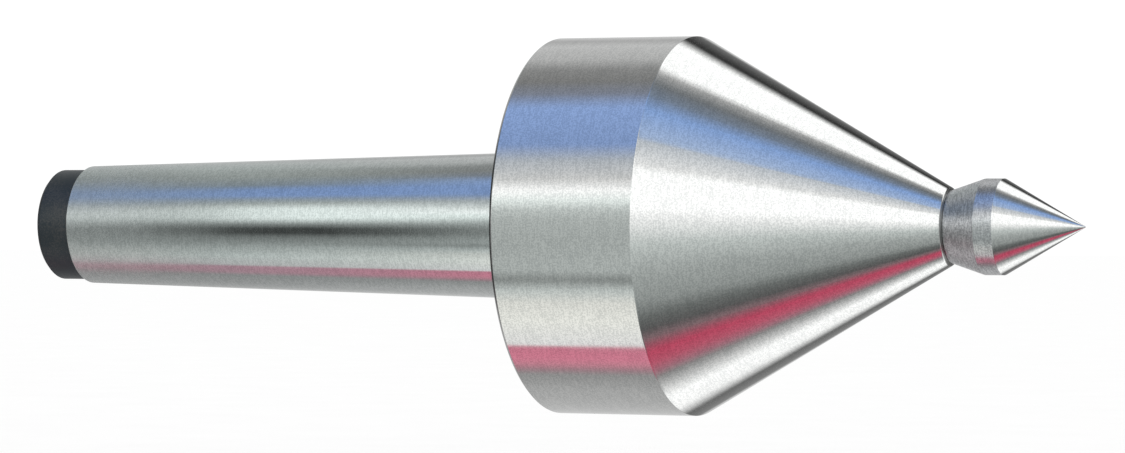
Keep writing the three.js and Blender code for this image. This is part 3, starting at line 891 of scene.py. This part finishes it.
# %% Cards in rings round the axis
CARD_SCALE = 2.0  # a ramp's colours stop at 1, so it holds half of the light
STEEL_REFLECTS = 0.6
SCREEN_GAMMA = 2.2


def light(level, tint=(1, 1, 1)):
    """The light of a card that looks this bright, from 0 to 1, in steel."""
    return tuple((level * part) ** SCREEN_GAMMA / STEEL_REFLECTS / CARD_SCALE for part in tint)


COOL = (0.97, 1, 0.99)
WARM = (1, 1, 0.975)
BLUE = (0.65, 0.77, 1)
CRIMSON = (1, 0.40, 0.53)
FADED_CRIMSON = (1, 0.60, 0.70)

CARDS_BESIDE = [
    (-180, light(0.67)),
    (-150, light(0.65)),
    (-120, light(0.62)),
    (-103, light(0.54)),
    (-98, light(0.59, (1, 0.80, 0.85))),
    (-93, light(0.73, (1, 0.66, 0.74))),
    (-88, light(0.77, FADED_CRIMSON)),
    (-79, light(0.73, FADED_CRIMSON)),
    (-78, light(0.83)),
    (-60, light(0.87, WARM)),
    (-48, light(0.82, WARM)),
    (-40, light(0.74, COOL)),
    (-33, light(0.50, COOL)),
    (-27, light(0.66, COOL)),
    (-8, light(0.64, COOL)),
    (4, light(0.67, COOL)),
    (10, light(0.74, COOL)),
    (15, light(0.90, COOL)),
    (21, light(0.97)),
    (28, light(0.76)),
    (40, light(0.70, (0.93, 0.96, 1))),
    (50, light(0.74, BLUE)),
    (76, light(0.80, BLUE)),
    (87, light(0.54, (0.86, 0.9, 1))),
    (98, light(0.46)),
    (110, light(0.51)),
    (122, light(0.66)),
    (142, light(0.69)),
    (154, light(0.59)),
    (168, light(0.66)),
    (180, light(0.67)),
]
CARDS_BEHIND = [
    (-180, light(0.60)),
    (-104, light(0.54)),
    (-95, light(0.62, (1, 0.82, 0.88))),
    (-81, light(0.64, (1, 0.80, 0.87))),
    (-77, light(0.68)),
    (-58, light(0.73, COOL)),
    (-42, light(0.64, COOL)),
    (-30, light(0.52, COOL)),
    (-22, light(0.44, COOL)),
    (-14, light(0.17, COOL)),
    (-6, light(0.18, COOL)),
    (1, light(0.50, COOL)),
    (12, light(0.93, COOL)),
    (28, light(0.93, COOL)),
    (39, light(0.66, COOL)),
    (46, light(0.62, (0.88, 0.94, 1))),
    (54, light(0.75, BLUE)),
    (66, light(0.72, BLUE)),
    (76, light(0.55, (0.89, 0.95, 1))),
    (95, light(0.59, COOL)),
    (125, light(0.65, COOL)),
    (180, light(0.66)),
]
CARDS_FAR_BEHIND = [
    (-180, light(0.60)),
    (-100, light(0.52)),
    (-86, light(0.56, (1, 0.86, 0.9))),
    (-60, light(0.60, COOL)),
    (-20, light(0.48, COOL)),
    (-5, light(0.47, COOL)),
    (12, light(0.56, COOL)),
    (24, light(0.58, COOL)),
    (33, light(0.55, COOL)),
    (58, light(0.66, (0.74, 0.84, 1))),
    (76, light(0.54, COOL)),
    (125, light(0.60, COOL)),
    (180, light(0.60)),
]
CARDS_REARMOST = [
    (-180, light(0.55)),
    (-95, light(0.60)),
    (-80, light(0.62)),
    (-60, light(0.46, (1, 0.82, 0.86))),
    (-35, light(0.48)),
    (-10, light(0.51)),
    (0, light(0.60)),
    (8, light(0.92)),
    (24, light(0.95)),
    (31, light(0.46, (0.90, 0.95, 1))),
    (55, light(0.43, (0.74, 0.85, 1))),
    (75, light(0.38, (0.80, 0.90, 1))),
    (90, light(0.52)),
    (130, light(0.56)),
    (180, light(0.55)),
]
CARDS_AHEAD = [
    (-180, light(0.52)),
    (-148, light(0.38)),
    (-136, light(0.93)),
    (-122, light(0.98)),
    (-111, light(0.72)),
    (-103, light(0.50)),
    (-98, light(0.60, (1, 0.68, 0.76))),
    (-92, light(0.68, (1, 0.49, 0.60))),
    (-84, light(0.69, CRIMSON)),
    (-79, light(0.57, (1, 0.58, 0.67))),
    (-75, light(0.47, (1, 0.84, 0.87))),
    (-69, light(0.33)),
    (-60, light(0.40, COOL)),
    (-50, light(0.55, COOL)),
    (-30, light(0.62, COOL)),
    (-12, light(0.73, COOL)),
    (7, light(0.93)),
    (13, light(1.0)),
    (37, light(1.0)),
    (40, light(0.86)),
    (57, light(0.74, (0.93, 0.96, 1))),
    (58, light(0.80, (0.76, 0.85, 1))),
    (77, light(0.80, (0.62, 0.76, 1))),
    (87, light(0.54, (0.80, 0.88, 1))),
    (96, light(0.44, (0.94, 0.97, 1))),
    (104, light(0.60)),
    (110, light(1.0)),
    (134, light(1.0)),
    (140, light(0.60)),
    (144, light(0.16)),
    (158, light(0.34)),
    (180, light(0.52)),
]

# Each ring but the rearmost, with how far forward a reflection points where the ring fades in.
NEXT_RINGS = [
    (CARDS_FAR_BEHIND, -0.66, -0.60),
    (CARDS_BEHIND, -0.527, -0.485),
    (CARDS_BESIDE, -0.49, -0.405),
    (CARDS_AHEAD, -0.26, -0.20),
]
FRONT_END, GAP, REAR_END = (0.72, 0.82), (0.80, 0.88), (0.955, 0.98)
END_LIGHT = (*light(0.6), 1)
GAP_LIGHT = (*light(0.2), 1)
ROOM_LIGHT = 1.05


def around(cards):
    return [((degrees + 180) / 360, colour) for degrees, colour in cards]


def build_studio():
    world = bpy.data.worlds.new("studio")
    bpy.context.scene.world = world
    world.use_nodes = True
    world.cycles.sampling_method = "NONE"
    tree = Tree(world.node_tree)
    ahead, away, up = tree.parts(tree.node("ShaderNodeTexCoord", output="Generated"))
    turn = up.math("ARCTAN2", up, 0 - away) * (0.5 / math.pi) + 0.5
    rings = tree.node("ShaderNodeValToRGB", {"stops": around(CARDS_REARMOST)}, [turn])
    for cards, start, end in NEXT_RINGS:
        ring = tree.node("ShaderNodeValToRGB", {"stops": around(cards)}, [turn])
        rings = tree.blend(tree.fade(ahead, start, end), rings, ring)
    rings = tree.blend(tree.fade(ahead, *FRONT_END), rings, END_LIGHT)
    rings = tree.blend(tree.fade(0 - ahead, *GAP), rings, GAP_LIGHT)
    rings = tree.blend(tree.fade(0 - ahead, *REAR_END), rings, END_LIGHT)
    cards = tree.node("ShaderNodeBackground", inputs=[rings, CARD_SCALE])
    plain = tree.node("ShaderNodeBackground", inputs=[(1, 1, 1, 1), ROOM_LIGHT])
    is_reflection = tree.node("ShaderNodeLightPath", output="Is Glossy Ray")
    both = tree.node("ShaderNodeMixShader", inputs=[is_reflection, plain, cards])
    tree.node("ShaderNodeOutputWorld", inputs=[both])


build_studio()
bpy.context.scene.view_settings.view_transform = "Standard"
print("studio with", len(CARDS_AHEAD), "cards ahead")

# %% [markdown]
# The floor is a plain pale sheet some way below the piece, far enough for its shadow to stay soft and out
# of the way. Reflections don't see it, because the cards already stand for everything round the piece.

# %% Floor
FLOOR_DROP = 15 * MM
FLOOR_SIZE = 6.0
FLOOR_DARK, FLOOR_LIGHT = (0.93, 0.93, 0.93, 1), (0.96, 0.96, 0.96, 1)


def make_floor():
    low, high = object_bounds()
    bm = bmesh.new()
    place = Matrix.Translation((0, 0, low.z - FLOOR_DROP))
    bmesh.ops.create_grid(bm, x_segments=1, y_segments=1, size=FLOOR_SIZE, matrix=place)
    floor = new_object("floor", bm)
    made, tree = new_material("pale_floor")
    grain = tree.noise(tree.node("ShaderNodeTexCoord", output="Object"), 60.0, 2.0)
    colour = tree.blend(grain, FLOOR_DARK, FLOOR_LIGHT)
    tree.node("ShaderNodeOutputMaterial", inputs=[tree.node("ShaderNodeBsdfDiffuse", inputs=[colour])])
    floor.data.materials.append(made)
    floor.visible_glossy = False
    floor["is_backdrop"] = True
    return floor


floor = make_floor()
print("floor at", round(floor.data.vertices[0].co.z / MM, 1), "mm")

# %% [markdown]
# ## The camera
#
# A long lens, two thirds of a metre away and level with the axis, so that the piece lies straight across
# the frame. The camera stands a little over 22 degrees round towards the point. There it sees the cone's
# full surface, and the edges of the head and the tail as slim ellipses that show their depth.

# %% Camera
CAMERA_TURN = math.radians(22.43)
CAMERA_DISTANCE = 0.668
CAMERA_ROLL = math.radians(0.155)
AIM_FROM_HEAD = Vector((0.06, 0, -0.13)) * MM  # from the middle of the head's rear face
LENS = 132.3
SENSOR = 36.0


def make_camera():
    data = bpy.data.cameras.new("camera")
    data.sensor_fit = "HORIZONTAL"
    data.sensor_width = SENSOR
    data.lens = LENS
    camera = bpy.data.objects.new("camera", data)
    bpy.context.scene.collection.objects.link(camera)
    aim = Vector((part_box("head")[0].x, 0, 0)) + AIM_FROM_HEAD
    back = Vector((math.sin(CAMERA_TURN), -math.cos(CAMERA_TURN), 0))
    camera.location = aim + back * CAMERA_DISTANCE
    camera.rotation_mode = "QUATERNION"
    roll = Quaternion((0, 0, 1), CAMERA_ROLL)
    camera.rotation_quaternion = (-back).to_track_quat("-Z", "Y") @ roll
    bpy.context.scene.camera = camera
    return camera


camera = make_camera()
print("camera at", [round(v, 3) for v in camera.location])
